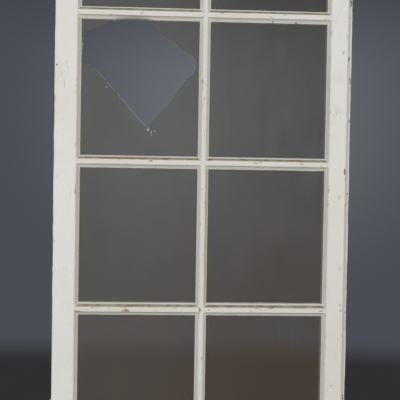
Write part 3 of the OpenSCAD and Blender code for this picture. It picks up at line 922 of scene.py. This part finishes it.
def screwBoxes(node):                  # lowest and highest corner of each screw in a node
    bm = meshOf(node)
    boxes = []
    for island in islands(bm):
        places = [vert.co for vert in island]
        low = Vector([min(place[axis] for place in places) for axis in range(3)])
        high = Vector([max(place[axis] for place in places) for axis in range(3)])
        boxes.append((low, high))
    bm.free()
    boxes.sort(key=lambda pair: (round(pair[0].z, 5), round(pair[0].x, 5)))
    return boxes


def addScrew(bm, place, headR, shankR, length, turned):     # local +Z runs from the head into the wood
    shape = screwShape
    outline = [(headR - 0.12 * mm, 0), (headR, 0.12 * mm), (shankR, headR - shankR)]
    pitch = (length * shape["threaded"]) / shape["turns"]
    outline.append((shankR, length * shape["smooth"]))
    for turn in range(shape["turns"]):
        top = length * shape["smooth"] + turn * pitch
        taper = max(0.25, 1 - (turn / shape["turns"]) ** 3 * 0.6)
        outline.append((shankR * 0.78 * taper, top + pitch * 0.3))
        outline.append((shankR * taper, top + pitch * 0.62))
        outline.append((shankR * 0.78 * taper, top + pitch * 0.9))
    outline.append((0.15 * mm, length))
    rings = []
    for radius, deep in outline:
        ring = []
        for number in range(shape["around"]):
            angle = 2 * math.pi * number / shape["around"]
            ring.append(bm.verts.new((radius * math.cos(angle), radius * math.sin(angle), deep)))
        rings.append(ring)
    for near, far in zip(rings, rings[1:]):
        for number in range(shape["around"]):
            after = (number + 1) % shape["around"]
            bm.faces.new((near[number], near[after], far[after], far[number]))
    bm.faces.new(rings[-1])
    head = bm.faces.new(reversed(rings[0]))
    made = {vert for ring in rings for vert in ring}
    halfWide, halfLong = headR * shape["slotWide"] / 2, headR * shape["slotLong"]
    region = [head]
    across, along = (0, 1, 0), (1, 0, 0)
    cuts = ((across, halfWide), (across, -halfWide), (along, halfLong), (along, -halfLong))
    for direction, far in cuts:
        around = {edge for face in region for edge in face.edges}
        around |= {vert for face in region for vert in face.verts}
        cut = bmesh.ops.bisect_plane(bm, geom=region + list(around), dist=0.0001 * mm,
                                     plane_co=Vector(direction) * far, plane_no=direction)
        region = [item for item in cut["geom"] if isinstance(item, bmesh.types.BMFace)]
        made |= {vert for face in region for vert in face.verts}
    slot = [face for face in region if abs(face.calc_center_median().x) < halfLong
            and abs(face.calc_center_median().y) < halfWide]
    pushed = bmesh.ops.extrude_face_region(bm, geom=slot)
    floor = [item for item in pushed["geom"] if isinstance(item, bmesh.types.BMVert)]
    bmesh.ops.delete(bm, geom=slot, context="FACES_ONLY")
    bmesh.ops.translate(bm, verts=floor, vec=(0, 0, headR * shape["slotDeep"]))
    made |= set(floor)
    matrix = place @ Matrix.Rotation(turned, 4, "Z")
    for vert in made:
        vert.co = matrix @ vert.co


def makeScrews(node, direction, headR, shankR):
    into = Vector(direction)
    axis = [abs(part) for part in direction].index(1)
    bm = bmesh.new()
    for number, (low, high) in enumerate(screwBoxes(node)):
        middle = (low + high) / 2
        length = high[axis] - low[axis]
        turn = into.to_track_quat("Z", "Y").to_matrix().to_4x4()
        place = Matrix.Translation(middle - into * (length / 2 - 0.05 * mm)) @ turn
        addScrew(bm, place, headR, shankR, length - 0.1 * mm, 0.5 + 1.9 * number)
    makePiece(bm, node, "steel", crease=28)


def headRadius(node, axis):
    low, high = screwBoxes(node)[0]
    return (high[axis] - low[axis]) / 2


makeScrews("hinge_screws", (1, 0, 0), headRadius("hinge_screws", 1), 2.1 * mm)
makeScrews("turn_button_screws", (0, -1, 0), headRadius("turn_button_screws", 0), 1.6 * mm)
print("metal made")


studio = {
    "floorRadius": 0.62,
    "floorColor": (0.62, 0.62, 0.60, 1),
    "clothColor": (0.5, 0.5, 0.49, 1),
    "backdrop": srgb(74, 77, 85),
    "glow": srgb(107, 110, 115),
    "glowCentre": (0.095, 0, 0.06),
    "glowScale": (4.2, 0, 5.2),
    "dim": srgb(63, 65, 70),
    "ground": srgb(47, 47, 49),
    "fill": 0.30,
    "fillColor": (0.94, 0.97, 1.0, 1),
    "glossy": 0.05,
}


def makeWorld(look=studio):
    world = bpy.data.worlds.new("studio")
    scene.world = world
    world.use_nodes = True
    graph = Graph(world.node_tree)
    direction = graph.node("ShaderNodeTexCoord", out="Generated")
    z = graph.parts(direction)[2]
    away = graph.vector("SUBTRACT", direction, look["glowCentre"])
    offset = graph.vector("MULTIPLY", away, look["glowScale"])
    glow = graph.vector("LENGTH", offset).between(1.15, 0.0)
    color = graph.mix(glow, look["backdrop"], look["glow"])
    color = graph.mix(z.between(0.10, 0.24) * 0.8, color, look["dim"])
    color = graph.mix(z.between(-0.170, -0.200), color, look["ground"])
    seen = graph.node("ShaderNodeLightPath", out="Is Camera Ray")
    glossy = graph.node("ShaderNodeLightPath", out="Is Glossy Ray")
    sources = ((look["fillColor"], look["fill"]), ((1, 1, 1, 1), look["glossy"]), (color, 1.0))
    light, dark, shown = [
        graph.node("ShaderNodeBackground", None, {"Color": tone, "Strength": strength})
        for tone, strength in sources
    ]
    behind = graph.node("ShaderNodeMixShader", None, {0: glossy, 1: light, 2: dark})
    final = graph.node("ShaderNodeMixShader", None, {0: seen, 1: behind, 2: shown})
    graph.node("ShaderNodeOutputWorld", None, {"Surface": final})


def makeFloor():
    material, graph = newMaterial("studioFloor")
    cloth = graph.noise(graph.place(), 6, 3)
    color = graph.mix(cloth * 0.2, studio["floorColor"], studio["clothColor"])
    finishMaterial(graph, color=color, rough=0.9)
    bm = bmesh.new()
    bmesh.ops.create_circle(bm, cap_ends=True, segments=96, radius=studio["floorRadius"])
    mesh = bpy.data.meshes.new("studioFloor")
    bm.to_mesh(mesh)
    bm.free()
    mesh.materials.append(material)
    floor = bpy.data.objects.new("studioFloor", mesh)
    floor.location.z = cadBounds[0].z - 0.4 * mm
    scene.collection.objects.link(floor)


lights = (
    # name, place, target, size, watts, colour
    ("leftLight", (-1.40, -2.30, 1.0), (0, 0, 0.76), 0.9, 32, (1.0, 0.995, 0.985)),
    ("rightLight", (1.60, -2.20, 0.95), (0, 0, 0.74), 0.9, 28, (0.985, 0.99, 1.0)),
    ("roomLight", (0.9, 2.4, 1.6), (0, 0, 0.65), 1.6, 46, (1.0, 0.98, 0.95)),
)


def makeLights():
    for name, place, target, size, watts, color in lights:
        data = bpy.data.lights.new(name, "AREA")
        data.energy = watts
        data.size = size
        data.color = color
        light = bpy.data.objects.new(name, data)
        light.location = place
        light.rotation_euler = (Vector(target) - Vector(place)).to_track_quat("-Z", "Y").to_euler()
        scene.collection.objects.link(light)


view = {
    "place": (-0.1209, -1.9712, 0.6551),
    "turn": -3.376,                    # degrees about the upright axis
    "tip": -1.763,                     # below level
    "roll": -0.936,
    "lens": 85.2,
}


def makeCamera():
    data = bpy.data.cameras.new("camera")
    data.lens = view["lens"]
    data.sensor_width = 36
    data.clip_start = 0.05
    camera = bpy.data.objects.new("camera", data)
    turn = Matrix.Rotation(math.radians(view["turn"]), 4, "Z")
    tip = Matrix.Rotation(math.radians(view["tip"]), 4, "X")
    roll = Matrix.Rotation(math.radians(view["roll"]), 4, "Y")
    level = Matrix.Rotation(math.radians(90), 4, "X")
    camera.matrix_world = Matrix.Translation(view["place"]) @ turn @ tip @ roll @ level
    scene.collection.objects.link(camera)
    scene.camera = camera


makeWorld()
makeFloor()
makeLights()
makeCamera()
scene.view_settings.view_transform = "Standard"
print("studio made")
